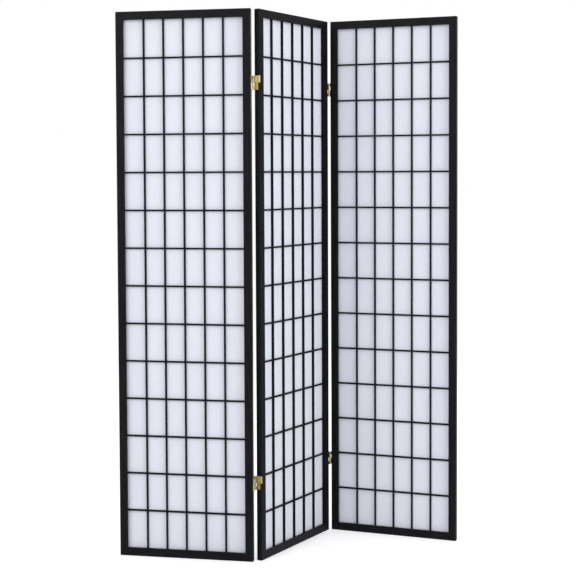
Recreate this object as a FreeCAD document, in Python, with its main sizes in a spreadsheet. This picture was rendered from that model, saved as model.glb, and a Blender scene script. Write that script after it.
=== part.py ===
import FreeCAD, Part
import os

from FreeCAD import Placement, Rotation, Vector
import Sketcher

# A folding screen of three papered lattice panels on two-way hinges, in millimetres.
#
# Every panel is the same: a wooden frame with a rebate round the back of its opening. The lattice
# lies in the rebate with the paper glued to its back, and four beads hold both. The three panels
# stand in a zigzag. Each of the two folds has an upper and a lower hinge, whose pair of crossing
# links lets the panels fold either way, fronts together or backs together.
#
# Panel frame: x runs from the panel's left edge to its right edge as seen from the front,
# y from the front face (0) to the back face, z from the floor up.
# Hinge frame: x = 0 is the middle of the gap between two panels, the front pivot stands at
# y = 0 and the back pivot behind it, z = 0 is the lower end of the hinge.
# The finished screen stands on z = 0, with its origin under the middle of the middle panel.

document = FreeCAD.newDocument("shoji_folding_screen")
sheet = document.addObject("Spreadsheet::Sheet", "sizes")

DRIVING_SIZES = (
    # the panels and how they stand
    ("panel_height", 1784),
    ("panel_width", 450),
    ("panel_thickness", 19),
    ("middle_turn", 59),            # degrees from the x axis to the middle panel
    ("left_fold", 70.5),            # degrees between the left and middle panels' planes
    ("right_fold", 80.5),           # degrees between the middle and right panels' planes
    # the frame of one panel
    ("stile_width", 26),
    ("rail_height", 27),
    ("arris_chamfer", 1.5),
    ("rebate_width", 5),
    ("rebate_depth", 12),
    ("tenon_length", 16),
    ("tenon_thickness", 6),
    ("tenon_height", 17),
    ("tenon_clearance", 0.1),
    # the lattice, the paper and the beads behind it
    ("upright_count", 5),
    ("crossbar_count", 13),
    ("upright_width", 5.5),
    ("crossbar_height", 5.5),
    ("lattice_depth", 7.4),
    ("crossbar_setback", 0.5),      # the crossbars' fronts lie this far behind the uprights'
    ("halving_depth", 3.4),         # wood that a crossbar keeps where an upright crosses it
    ("halving_clearance", 0.05),
    ("lattice_clearance", 0.5),     # from the end of a bar to the rebate's wall
    ("paper_thickness", 0.4),
    ("paper_margin", 1),            # from the paper's edge to the rebate's wall
    ("bead_width", 5),
    ("bead_clearance", 0.2),
    # the hinges
    ("upper_hinge_drop", 236),      # from the top of the panel to the middle of the upper hinge
    ("lower_hinge_rise", 255),      # from the floor to the middle of the lower hinge
    ("panel_gap", 8),
    ("pivot_offset", 2),            # from a panel's face out to the pivot's axis
    ("sheet_thickness", 1.2),
    ("leaf_inset", 4),              # from a panel's face in to the edge of the leaf
    ("knuckle_height", 11),
    ("knuckle_gap", 0.4),
    ("round_flats", 12),            # pins, bores and knuckles are drawn with this many flats
    ("pin_radius", 1.8),
    ("pin_clearance", 0.05),
    ("link_clearance", 0.5),        # from a link's cut-back plate to the leaf's knuckle
    ("screw_count", 3),             # in each leaf
    ("screw_pitch", 14),
    ("screw_flats", 8),             # and screws with this many
    ("screw_head_radius", 2.9),
    ("screw_head_height", 1.1),
    ("screw_shank_radius", 1.6),
    ("screw_length", 15),           # under the head
    ("screw_clearance", 0.05),
)

for row, (alias, value) in enumerate(DRIVING_SIZES, start=1):
    sheet.set("A%d" % row, alias)
    sheet.set("B%d" % row, str(value))
    sheet.setAlias("B%d" % row, alias)
document.recompute()


def size(expression):
    """The value of an expression in the sheet's names, as a plain number."""
    return float(sheet.evalExpression(expression))


# Lengths that follow from the sheet, as expressions that the pieces share.
LIP = "(sizes.panel_thickness - sizes.rebate_depth)"
OPENING_WIDTH = "(sizes.panel_width - 2 * sizes.stile_width)"
OPENING_HEIGHT = "(sizes.panel_height - 2 * sizes.rail_height)"
REBATE_LEFT = "(sizes.stile_width - sizes.rebate_width)"
REBATE_FOOT = "(sizes.rail_height - sizes.rebate_width)"
REBATED_WIDTH = "(sizes.panel_width - 2 * %s)" % REBATE_LEFT
REBATED_HEIGHT = "(sizes.panel_height - 2 * %s)" % REBATE_FOOT
LATTICE_BACK = "(%s + sizes.lattice_depth)" % LIP
UPRIGHT_PITCH = "(%s / (sizes.upright_count + 1))" % OPENING_WIDTH
CROSSBAR_PITCH = "(%s / (sizes.crossbar_count + 1))" % OPENING_HEIGHT
TENON_FRONT = "(sizes.panel_thickness / 2 - sizes.tenon_thickness / 2)"
BEAD_FRONT = "(%s + sizes.paper_thickness)" % LATTICE_BACK
PIVOT_SPREAD = "(sizes.panel_thickness + 2 * sizes.pivot_offset)"
BORE_RADIUS = "((sizes.pin_radius + sizes.pin_clearance) / cos(180 / sizes.round_flats))"
SCREW_HOLE_RADIUS = "((sizes.screw_shank_radius + sizes.screw_clearance) / cos(180 / sizes.screw_flats))"
KNUCKLE_RADIUS = "(%s + sizes.sheet_thickness)" % BORE_RADIUS
ZONE = "(sizes.knuckle_height + sizes.knuckle_gap)"
HINGE_HEIGHT = "(4 * sizes.knuckle_height + 3 * sizes.knuckle_gap)"
LEAF_FACE = "(sizes.panel_gap / 2 - sizes.sheet_thickness)"
LEAF_EDGE = "(sizes.pivot_offset + sizes.leaf_inset)"


def new_body(name):
    body = document.addObject("PartDesign::Body", name)
    body.AllowCompound = True
    return body


def origin_feature(body, role):
    return next(feature for feature in body.Origin.OriginFeatures if feature.Role == role)


def bind(feature, **expressions):
    """Ties a feature's sizes and place to the sheet: Width="...", x="..." and so on."""
    for name, expression in expressions.items():
        path = "Placement.Base." + name if name in ("x", "y", "z") else name
        feature.setExpression(path, expression)


def add_shape(body, kind, name, turn=None, **expressions):
    """A box, cylinder or cone that is added to a body or cut from it."""
    feature = body.newObject("PartDesign::" + kind, name)
    if turn is not None:
        feature.Placement = Placement(Vector(), turn)
    bind(feature, **expressions)
    body.Tip = feature
    document.recompute()
    return feature


def add_row(body, original, name, role, count, length):
    """Repeats a feature along one of the body's axes, count times over a whole length."""
    row = body.newObject("PartDesign::LinearPattern", name)
    row.Originals = [original]
    row.Direction = (origin_feature(body, role), [""])
    row.setExpression("Occurrences", count)
    row.setExpression("Length", length)
    body.Tip = row
    document.recompute()
    return row


def pad_outline(body, name, corners, length, foot="0"):
    """Pads a closed outline, drawn in plan through corners given as pairs of expressions."""
    sketch = body.newObject("Sketcher::SketchObject", name + "_outline")
    sketch.AttachmentSupport = [(origin_feature(body, "XY_Plane"), "")]
    sketch.MapMode = "FlatFace"
    sketch.setExpression("AttachmentOffset.Base.z", foot)
    places = [Vector(size(x), size(y), 0) for x, y in corners]
    for start, end in zip(places, places[1:] + places[:1]):
        sketch.addGeometry(Part.LineSegment(start, end), False)
    for index in range(len(corners)):
        following = (index + 1) % len(corners)
        sketch.addConstraint(Sketcher.Constraint("Coincident", index, 2, following, 1))
    for index, corner in enumerate(corners):
        for kind, axis, expression in zip(("DistanceX", "DistanceY"), (-2, -1), corner):
            if expression == "0":
                sketch.addConstraint(Sketcher.Constraint("PointOnObject", index, 1, axis))
                continue
            distance = Sketcher.Constraint(kind, -1, 1, index, 1, size(expression))
            sketch.setExpression("Constraints[%d]" % sketch.addConstraint(distance), expression)
    pad = body.newObject("PartDesign::Pad", name)
    pad.Profile = sketch
    pad.setExpression("Length", length)
    sketch.Visibility = False
    body.Tip = pad
    document.recompute()
    return pad


def ease_arrises(body, planes):
    """Chamfers each edge of the body that lies in two of the given planes, such as ("y", 0)."""
    def lies_in(edge, plane):
        return all(abs(getattr(vertex.Point, plane[0]) - plane[1]) < 1e-6 for vertex in edge.Vertexes)

    square = body.Tip
    arrises = [
        "Edge%d" % number for number, edge in enumerate(square.Shape.Edges, start=1)
        if sum(lies_in(edge, plane) for plane in planes) >= 2]
    chamfer = body.newObject("PartDesign::Chamfer", body.Name + "_arrises")
    chamfer.Base = (square, arrises)
    chamfer.setExpression("Size", "sizes.arris_chamfer")
    body.Tip = chamfer
    document.recompute()


def make_stile():
    """The left stile: an upright with the rebate along its inner back edge, mortised for both rails."""
    body = new_body("stile")
    pad_outline(body, "stile_section", (
        ("0", "0"),
        ("sizes.stile_width", "0"),
        ("sizes.stile_width", LIP),
        (REBATE_LEFT, LIP),
        (REBATE_LEFT, "sizes.panel_thickness"),
        ("0", "sizes.panel_thickness")), "sizes.panel_height")
    ease_arrises(body, (
        ("x", 0), ("y", 0), ("y", size("sizes.panel_thickness")),
        ("z", 0), ("z", size("sizes.panel_height"))))
    mortise = add_shape(
        body, "SubtractiveBox", "mortise",
        Length="sizes.tenon_length + sizes.tenon_clearance",
        Width="sizes.tenon_thickness + 2 * sizes.tenon_clearance",
        Height="sizes.tenon_height + 2 * sizes.tenon_clearance",
        x="sizes.stile_width - sizes.tenon_length - sizes.tenon_clearance",
        y=TENON_FRONT + " - sizes.tenon_clearance",
        z="(sizes.rail_height - sizes.tenon_height) / 2 - sizes.tenon_clearance")
    add_row(body, mortise, "mortises", "Z_Axis", "2", "sizes.panel_height - sizes.rail_height")
    return body


def make_rail():
    """The top rail: a lip between the stiles, a body that fills their rebates, and two tenons."""
    body = new_body("rail")
    add_shape(
        body, "AdditiveBox", "rail_lip",
        Length=OPENING_WIDTH, Width=LIP, Height="sizes.rail_height",
        x="sizes.stile_width", z="sizes.panel_height - sizes.rail_height")
    add_shape(
        body, "AdditiveBox", "rail_back",
        Length=REBATED_WIDTH, Width="sizes.rebate_depth", Height=REBATE_FOOT,
        x=REBATE_LEFT, y=LIP, z="sizes.panel_height - " + REBATE_FOOT)
    ease_arrises(body, (
        ("y", 0), ("y", size("sizes.panel_thickness")), ("z", size("sizes.panel_height"))))
    add_shape(
        body, "AdditiveBox", "tenons",
        Length=OPENING_WIDTH + " + 2 * sizes.tenon_length",
        Width="sizes.tenon_thickness", Height="sizes.tenon_height",
        x="sizes.stile_width - sizes.tenon_length", y=TENON_FRONT,
        z="sizes.panel_height - (sizes.rail_height + sizes.tenon_height) / 2")
    return body


def make_uprights():
    """The lattice's uprights, halved from behind where the crossbars pass."""
    body = new_body("lattice_uprights")
    upright = add_shape(
        body, "AdditiveBox", "upright",
        Length="sizes.upright_width", Width="sizes.lattice_depth",
        Height=REBATED_HEIGHT + " - 2 * sizes.lattice_clearance",
        x="sizes.stile_width + %s - sizes.upright_width / 2" % UPRIGHT_PITCH,
        y=LIP, z=REBATE_FOOT + " + sizes.lattice_clearance")
    add_row(
        body, upright, "upright_row", "X_Axis", "sizes.upright_count",
        UPRIGHT_PITCH + " * (sizes.upright_count - 1)")
    halving = add_shape(
        body, "SubtractiveBox", "upright_halving",
        Length=OPENING_WIDTH,
        Width="sizes.halving_depth + sizes.halving_clearance",
        Height="sizes.crossbar_height + 2 * sizes.halving_clearance",
        x="sizes.stile_width",
        y=LATTICE_BACK + " - sizes.halving_depth - sizes.halving_clearance",
        z="sizes.rail_height + %s - sizes.crossbar_height / 2 - sizes.halving_clearance" % CROSSBAR_PITCH)
    add_row(
        body, halving, "upright_halvings", "Z_Axis", "sizes.crossbar_count",
        CROSSBAR_PITCH + " * (sizes.crossbar_count - 1)")
    return body


def make_crossbars():
    """The lattice's crossbars, halved from the front where the uprights pass."""
    body = new_body("lattice_crossbars")
    crossbar = add_shape(
        body, "AdditiveBox", "crossbar",
        Length=REBATED_WIDTH + " - 2 * sizes.lattice_clearance",
        Width="sizes.lattice_depth - sizes.crossbar_setback", Height="sizes.crossbar_height",
        x=REBATE_LEFT + " + sizes.lattice_clearance",
        y=LIP + " + sizes.crossbar_setback",
        z="sizes.rail_height + %s - sizes.crossbar_height / 2" % CROSSBAR_PITCH)
    add_row(
        body, crossbar, "crossbar_row", "Z_Axis", "sizes.crossbar_count",
        CROSSBAR_PITCH + " * (sizes.crossbar_count - 1)")
    halving = add_shape(
        body, "SubtractiveBox", "crossbar_halving",
        Length="sizes.upright_width + 2 * sizes.halving_clearance",
        Width="sizes.lattice_depth - sizes.halving_depth", Height=OPENING_HEIGHT,
        x="sizes.stile_width + %s - sizes.upright_width / 2 - sizes.halving_clearance" % UPRIGHT_PITCH,
        y=LIP, z="sizes.rail_height")
    add_row(
        body, halving, "crossbar_halvings", "X_Axis", "sizes.upright_count",
        UPRIGHT_PITCH + " * (sizes.upright_count - 1)")
    return body


def make_paper():
    """One sheet of paper over the whole back of the lattice."""
    body = new_body("paper")
    add_shape(
        body, "AdditiveBox", "paper_sheet",
        Length=REBATED_WIDTH + " - 2 * sizes.paper_margin", Width="sizes.paper_thickness",
        Height=REBATED_HEIGHT + " - 2 * sizes.paper_margin",
        x=REBATE_LEFT + " + sizes.paper_margin", y=LATTICE_BACK,
        z=REBATE_FOOT + " + sizes.paper_margin")
    return body


def make_beads():
    """Four beads flush with the frame's back: two upright ones and two that run between them."""
    body = new_body("paper_beads")
    depth = "sizes.rebate_depth - sizes.lattice_depth - sizes.paper_thickness"
    side = add_shape(
        body, "AdditiveBox", "side_bead",
        Length="sizes.bead_width", Width=depth,
        Height=REBATED_HEIGHT + " - 2 * sizes.bead_clearance",
        x=REBATE_LEFT + " + sizes.bead_clearance", y=BEAD_FRONT,
        z=REBATE_FOOT + " + sizes.bead_clearance")
    add_row(
        body, side, "side_beads", "X_Axis", "2",
        REBATED_WIDTH + " - 2 * sizes.bead_clearance - sizes.bead_width")
    cross = add_shape(
        body, "AdditiveBox", "cross_bead",
        Length=REBATED_WIDTH + " - 2 * (sizes.bead_width + 2 * sizes.bead_clearance)",
        Width=depth, Height="sizes.bead_width",
        x=REBATE_LEFT + " + sizes.bead_width + 2 * sizes.bead_clearance",
        y=BEAD_FRONT, z=REBATE_FOOT + " + sizes.bead_clearance")
    add_row(
        body, cross, "cross_beads", "Z_Axis", "2",
        REBATED_HEIGHT + " - 2 * sizes.bead_clearance - sizes.bead_width")
    return body


def add_round(body, kind, name, radius, length, flats="sizes.round_flats", turn=None, **place):
    """A small round piece or bore, drawn with a few flats through corners at the radius."""
    return add_shape(
        body, kind, name, turn, Polygon=flats, Circumradius=radius, Height=length, **place)


def make_leaf():
    """A leaf for the edge on its right: the front knuckle is at its top, the back one at its foot."""
    body = new_body("hinge_leaf")
    add_shape(
        body, "AdditiveBox", "leaf_plate",
        Length="sizes.sheet_thickness", Width=PIVOT_SPREAD + " - 2 * " + LEAF_EDGE,
        Height=HINGE_HEIGHT, x=LEAF_FACE, y=LEAF_EDGE)
    top_zone = "3 * " + ZONE
    for side, foot, pivot, edge in (
            ("front", top_zone, "0", LEAF_EDGE),
            ("back", "0", PIVOT_SPREAD, PIVOT_SPREAD + " - " + LEAF_EDGE)):
        pad_outline(body, side + "_arm", (
            ("sizes.panel_gap / 2", edge),
            (LEAF_FACE, edge),
            (BORE_RADIUS, pivot),
            (KNUCKLE_RADIUS, pivot)), "sizes.knuckle_height", foot)
        add_round(
            body, "AdditivePrism", side + "_knuckle", KNUCKLE_RADIUS, "sizes.knuckle_height",
            y=pivot, z=foot)
        add_round(
            body, "SubtractivePrism", side + "_bore", BORE_RADIUS, "sizes.knuckle_height",
            y=pivot, z=foot)
    hole = add_round(
        body, "SubtractivePrism", "screw_hole", SCREW_HOLE_RADIUS, "sizes.sheet_thickness",
        "sizes.screw_flats", Rotation(Vector(0, 1, 0), 90),
        x=LEAF_FACE, y=PIVOT_SPREAD + " / 2",
        z="(%s - sizes.screw_pitch * (sizes.screw_count - 1)) / 2" % HINGE_HEIGHT)
    add_row(
        body, hole, "screw_holes", "Z_Axis", "sizes.screw_count",
        "sizes.screw_pitch * (sizes.screw_count - 1)")
    return body


def make_link():
    """The upper link: a plate between the pivots, cut back at the top beside the leaves' knuckles."""
    body = new_body("hinge_link")
    foot = "2 * " + ZONE
    side = "-sizes.sheet_thickness / 2"
    add_shape(
        body, "AdditiveBox", "link_plate",
        Length="sizes.sheet_thickness", Width=PIVOT_SPREAD, Height="sizes.knuckle_height",
        x=side, z=foot)
    cut_back = "(%s + sizes.link_clearance)" % KNUCKLE_RADIUS
    add_shape(
        body, "AdditiveBox", "link_tongue",
        Length="sizes.sheet_thickness", Width="%s - 2 * %s" % (PIVOT_SPREAD, cut_back),
        Height="2 * sizes.knuckle_height + sizes.knuckle_gap",
        x=side, y=cut_back, z=foot)
    for end, pivot in (("front", "0"), ("back", PIVOT_SPREAD)):
        add_round(
            body, "AdditivePrism", end + "_barrel", KNUCKLE_RADIUS, "sizes.knuckle_height",
            y=pivot, z=foot)
        add_round(
            body, "SubtractivePrism", end + "_barrel_bore", BORE_RADIUS, "sizes.knuckle_height",
            y=pivot, z=foot)
    return body


def make_pin(name, length):
    """A pin that stands in a leaf's knuckle."""
    body = new_body(name)
    add_round(body, "AdditivePrism", name + "_shank", "sizes.pin_radius", length)
    return body


def make_screw():
    """A wood screw along z, whose head seats on the leaf at z = 0."""
    body = new_body("hinge_screw")
    add_round(
        body, "AdditivePrism", "screw_shank", "sizes.screw_shank_radius", "sizes.screw_length",
        "sizes.screw_flats")
    add_round(
        body, "AdditivePrism", "screw_head", "sizes.screw_head_radius", "sizes.screw_head_height",
        "sizes.screw_flats", z="-sizes.screw_head_height")
    return body


def standing(turn, local_point, world_point):
    """The place of a piece turned about z whose local point lies at the given point."""
    rotation = Rotation(Vector(0, 0, 1), turn)
    return Placement(world_point - rotation.multVec(local_point), rotation)


panel_width = size("sizes.panel_width")
panel_height = size("sizes.panel_height")
panel_thickness = size("sizes.panel_thickness")
pivot_offset = size("sizes.pivot_offset")
half_gap = size("sizes.panel_gap") / 2

# The panels' places: the left one is folded about the back pivot of its hinges,
# the right one about the front pivot.
front = -pivot_offset
back = panel_thickness + pivot_offset
before = -half_gap
beyond = panel_width + half_gap
middle_turn = size("sizes.middle_turn")
middle_place = standing(middle_turn, Vector(panel_width / 2, panel_thickness / 2, 0), Vector())
left_place = standing(
    middle_turn - size("sizes.left_fold"), Vector(beyond, back, 0),
    middle_place.multVec(Vector(before, back, 0)))
right_place = standing(
    middle_turn - size("sizes.right_fold"), Vector(before, front, 0),
    middle_place.multVec(Vector(beyond, front, 0)))

end_for_end = Placement(Vector(panel_width, 0, panel_height), Rotation(Vector(0, 1, 0), 180))
nodes = []


def add_node(name, piece, place):
    """One copy of a piece, set in its place on the screen."""
    copy = document.addObject("App::Link", name)
    copy.LinkedObject = piece
    copy.Label = name
    copy.Placement = place
    nodes.append(copy)


def add_group(name, pieces_and_places):
    """Like pieces that share a node, as separate solids."""
    copies = []
    for piece, place in pieces_and_places:
        copy = document.addObject("App::Link", name + "_copy")
        copy.LinkedObject = piece
        copy.Placement = place
        copies.append(copy)
    group = document.addObject("Part::Compound", name)
    group.Label = name
    group.Links = copies
    nodes.append(group)


stile = make_stile()
rail = make_rail()
uprights = make_uprights()
crossbars = make_crossbars()
paper = make_paper()
beads = make_beads()
for panel, place in (("left", left_place), ("middle", middle_place), ("right", right_place)):
    add_node(panel + "_panel_left_stile", stile, place)
    add_node(panel + "_panel_right_stile", stile, place * end_for_end)
    add_node(panel + "_panel_top_rail", rail, place)
    add_node(panel + "_panel_bottom_rail", rail, place * end_for_end)
    add_node(panel + "_panel_lattice_uprights", uprights, place)
    add_node(panel + "_panel_lattice_crossbars", crossbars, place)
    add_node(panel + "_panel_paper", paper, place)
    add_node(panel + "_panel_paper_beads", beads, place)

leaf = make_leaf()
link = make_link()
pin = make_pin("hinge_pin", "2 * sizes.knuckle_height + sizes.knuckle_gap")
stub_pin = make_pin("hinge_stub_pin", "sizes.knuckle_height")
screw = make_screw()

# Places in the hinge frame. A half turn about the hinge's upright middle line makes the leaf of
# the other panel, and a half turn about its level cross line makes the lower link.
pivot_spread = size(PIVOT_SPREAD)
hinge_height = size(HINGE_HEIGHT)
zone = size(ZONE)
other_leaf = Placement(Vector(0, pivot_spread, 0), Rotation(Vector(0, 0, 1), 180))
upside_down = Placement(Vector(0, pivot_spread, hinge_height), Rotation(Vector(1, 0, 0), 180))
top_pin = (pin, Placement(Vector(0, 0, 2 * zone), Rotation()))
foot_pin = (pin, Placement(Vector(0, pivot_spread, 0), Rotation()))
foot_stub_pin = (stub_pin, foot_pin[1])
screw_axis = Rotation(Vector(0, 1, 0), 90)
screw_pitch = size("sizes.screw_pitch")
screw_count = int(size("sizes.screw_count"))
lowest_screw = (hinge_height - screw_pitch * (screw_count - 1)) / 2
leaf_screws = [
    (screw, Placement(
        Vector(size(LEAF_FACE), pivot_spread / 2, lowest_screw + screw_pitch * number), screw_axis))
    for number in range(screw_count)]
hinge_feet = (
    size("sizes.lower_hinge_rise") - hinge_height / 2,
    panel_height - size("sizes.upper_hinge_drop") - hinge_height / 2)


def on_hinges(panel_place, edge, hand, pieces):
    """Pieces placed in the hinge frame, carried to both hinges on one edge of a panel."""
    return [
        (piece, panel_place * Placement(Vector(edge, front, foot), Rotation()) * hand * local)
        for foot in hinge_feet for piece, local in pieces]


# Each leaf holds a pin at its top and one at its foot, and both links turn on them. A link that is
# pinned at both ends would lock the two ways of folding together, so the lower link hangs on the
# outer leaf's pin alone, and the inner leaf's pin at that end is a stub that stops short of it.
right_hand = Placement()
left_hand = other_leaf
for fold, outer_place, outer_edge, outer_hand, inner_edge, inner_hand in (
        ("left", left_place, beyond, left_hand, before, right_hand),
        ("right", right_place, before, right_hand, beyond, left_hand)):
    for name, panel_place, edge, hand, pins in (
            (fold + "_hinge_outer", outer_place, outer_edge, outer_hand, [top_pin, foot_pin]),
            (fold + "_hinge_inner", middle_place, inner_edge, inner_hand, [top_pin, foot_stub_pin])):
        add_group(name + "_leaves", on_hinges(panel_place, edge, hand, [(leaf, Placement())]))
        add_group(name + "_pins", on_hinges(panel_place, edge, hand, pins))
        add_group(name + "_screws", on_hinges(panel_place, edge, hand, leaf_screws))
    add_group(fold + "_hinge_upper_links", on_hinges(
        middle_place, inner_edge, Placement(), [(link, Placement())]))
    add_group(fold + "_hinge_lower_links", on_hinges(
        outer_place, outer_edge, upside_down, [(link, Placement())]))

document.recompute()

for item in document.Objects:
    if {"Invalid", "Error"} & set(item.State):
        raise RuntimeError("%s was not built: %s" % (item.Label, item.State))

shapes = {node.Label: Part.getShape(node) for node in nodes}
for name, shape in shapes.items():
    if shape.isNull() or not shape.isValid():
        raise RuntimeError("%s has no valid shape" % name)

os.makedirs("parts", exist_ok=True)
for name, shape in shapes.items():
    shape.exportStep("parts/%s.step" % name)
    print("%-34s %3d solids %12.1f mm3" % (name, len(shape.Solids), shape.Volume))
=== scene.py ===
# %% [markdown]
# # A folding screen of three papered lattice panels
# The screen is made piece by piece, the way its maker would build it: frames, lattice, paper,
# beads and hinges. The construction already exists as fixed solids, and this lesson dresses them.
# Each finished piece lies exactly where its solid lies and moves with the same part of the screen.

import math

import bmesh
import bpy
from mathutils import Matrix, Vector, noise


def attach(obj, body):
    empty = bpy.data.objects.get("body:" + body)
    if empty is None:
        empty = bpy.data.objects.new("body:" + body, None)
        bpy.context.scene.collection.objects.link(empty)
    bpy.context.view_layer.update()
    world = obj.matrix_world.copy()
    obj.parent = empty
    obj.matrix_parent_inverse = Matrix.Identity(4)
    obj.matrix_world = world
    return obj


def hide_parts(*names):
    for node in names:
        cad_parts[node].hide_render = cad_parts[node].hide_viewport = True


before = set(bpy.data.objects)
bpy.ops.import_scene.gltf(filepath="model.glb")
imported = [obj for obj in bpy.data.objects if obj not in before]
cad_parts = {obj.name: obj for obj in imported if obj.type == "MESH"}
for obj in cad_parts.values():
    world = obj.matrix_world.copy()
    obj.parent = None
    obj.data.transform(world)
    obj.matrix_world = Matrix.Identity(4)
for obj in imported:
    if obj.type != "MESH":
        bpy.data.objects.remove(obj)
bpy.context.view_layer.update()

# %% [markdown]
# Blender's own unit is the metre, but a joiner thinks in millimetres. Every length of the screen
# is a plain number times `MM`, so it reads like the workshop drawing. Only the studio round the
# screen is measured in metres.

# %% Sizes that several pieces share
MM = 0.001
CLOSE = 0.001 * MM                 # points nearer to each other than this count as one
PANEL_WIDTH = 450 * MM
PANEL_HEIGHT = 1784 * MM
PANEL_THICKNESS = 19 * MM
STILE_WIDTH = 26 * MM
RAIL_HEIGHT = 27 * MM
REBATE_WIDTH = 5 * MM
LIP = 7 * MM                       # wood left in front of the rebate
OPENING_WIDTH = PANEL_WIDTH - 2 * STILE_WIDTH
OPENING_HEIGHT = PANEL_HEIGHT - 2 * RAIL_HEIGHT
UPRIGHTS, CROSSBARS = 5, 13
PANE_WIDTH = OPENING_WIDTH / (UPRIGHTS + 1)
PANE_HEIGHT = OPENING_HEIGHT / (CROSSBARS + 1)
print("one pane measures %.1f x %.1f mm, bars included" % (PANE_WIDTH / MM, PANE_HEIGHT / MM))

# %% [markdown]
# ## How the panels stand
# All three panels are the same piece of joinery, so it is described once, in a frame of its own:
# x along its width, y from front to back, z up. A 4 x 4 matrix then stands it in the room.
# The matrix turns the panel about the upright line through one of its points, and brings that
# point to its place. The outer panels hang on the hinges' pivots, a little outside the faces.

# %% Stand the panels in a zigzag
MIDDLE_TURN = 59                   # degrees that the middle panel is turned about z
LEFT_FOLD, RIGHT_FOLD = 70.5, 80.5  # degrees that the folds are bent out of a flat row
HALF_GAP = 4 * MM                  # half the gap between two panels' edges
PIVOT_OUT = 2 * MM                 # from a panel's face out to a pivot
FRONT_PIVOT, BACK_PIVOT = -PIVOT_OUT, PANEL_THICKNESS + PIVOT_OUT
BEFORE, BEYOND = -HALF_GAP, PANEL_WIDTH + HALF_GAP


def standing(degrees, local_point, room_point):
    """The place of a panel turned about z whose local point lies at a point of the room."""
    turn = Matrix.Rotation(math.radians(degrees), 4, "Z")
    return Matrix.Translation(Vector(room_point) - turn @ Vector(local_point)) @ turn


middle_place = standing(MIDDLE_TURN, (PANEL_WIDTH / 2, PANEL_THICKNESS / 2, 0), (0, 0, 0))
PLACES = {
    "left": standing(
        MIDDLE_TURN - LEFT_FOLD, (BEYOND, BACK_PIVOT, 0),
        middle_place @ Vector((BEFORE, BACK_PIVOT, 0))),
    "middle": middle_place,
    "right": standing(
        MIDDLE_TURN - RIGHT_FOLD, (BEFORE, FRONT_PIVOT, 0),
        middle_place @ Vector((BEYOND, FRONT_PIVOT, 0))),
}
for panel, place in PLACES.items():
    print("%s panel stands from" % panel, tuple(round(c, 3) for c in place.translation))

# %% [markdown]
# ## The view
# A product photograph keeps the uprights parallel: the camera stays almost level at chest
# height, and a lens shift frames the object instead of a tilt. The focal length, the height and
# the small leftover tilt were found by matching the panels' corners and the lattice's crossings.

# %% Set up the camera
LENS_LENGTH = 84.26                # millimetres, before Blender's usual 36 mm sensor
LENS_SHIFT = -0.09                 # as a share of the picture's width
CAMERA_PLACE = (-34.1 * MM, -4526.2 * MM, 1253.2 * MM)
CAMERA_TURN = (87.394, 0.243, -0.216)      # degrees about x, y and z
camera_data = bpy.data.cameras.new("view_camera")
camera_data.lens = LENS_LENGTH
camera_data.shift_y = LENS_SHIFT
camera = bpy.data.objects.new("view_camera", camera_data)
camera.location = CAMERA_PLACE
camera.rotation_euler = [math.radians(angle) for angle in CAMERA_TURN]
bpy.context.scene.collection.objects.link(camera)
bpy.context.scene.camera = camera
print("camera height %.0f mm, distance %.0f mm" % (camera.location.z / MM, -camera.location.y / MM))

# %% [markdown]
# ## Writing finishes as arithmetic
# A procedural finish is a graph of small nodes. Two helpers keep it readable. `Value` wraps an
# output, so `1 - grain * 0.3` adds the Math nodes it needs. `Finish.node` adds any other node:
# its settings first, because they decide which sockets exist, and then its inputs. The owner of
# a graph is a material or the world.

# %% Two helpers for node graphs
class Value:
    """A number that varies over a surface: one output socket in a finish's graph."""

    def __init__(self, finish, socket):
        self.finish = finish
        self.socket = socket

    def math(self, operation, first, second):
        """The result of one Math node on two values or numbers."""
        return self.finish.node(
            "ShaderNodeMath", {"operation": operation}, {0: first, 1: second})[0]

    def __add__(self, other):
        return self.math("ADD", self, other)

    def __sub__(self, other):
        return self.math("SUBTRACT", self, other)

    def __rsub__(self, other):
        return self.math("SUBTRACT", other, self)

    def __mul__(self, other):
        return self.math("MULTIPLY", self, other)

    __radd__ = __add__
    __rmul__ = __mul__


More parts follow.
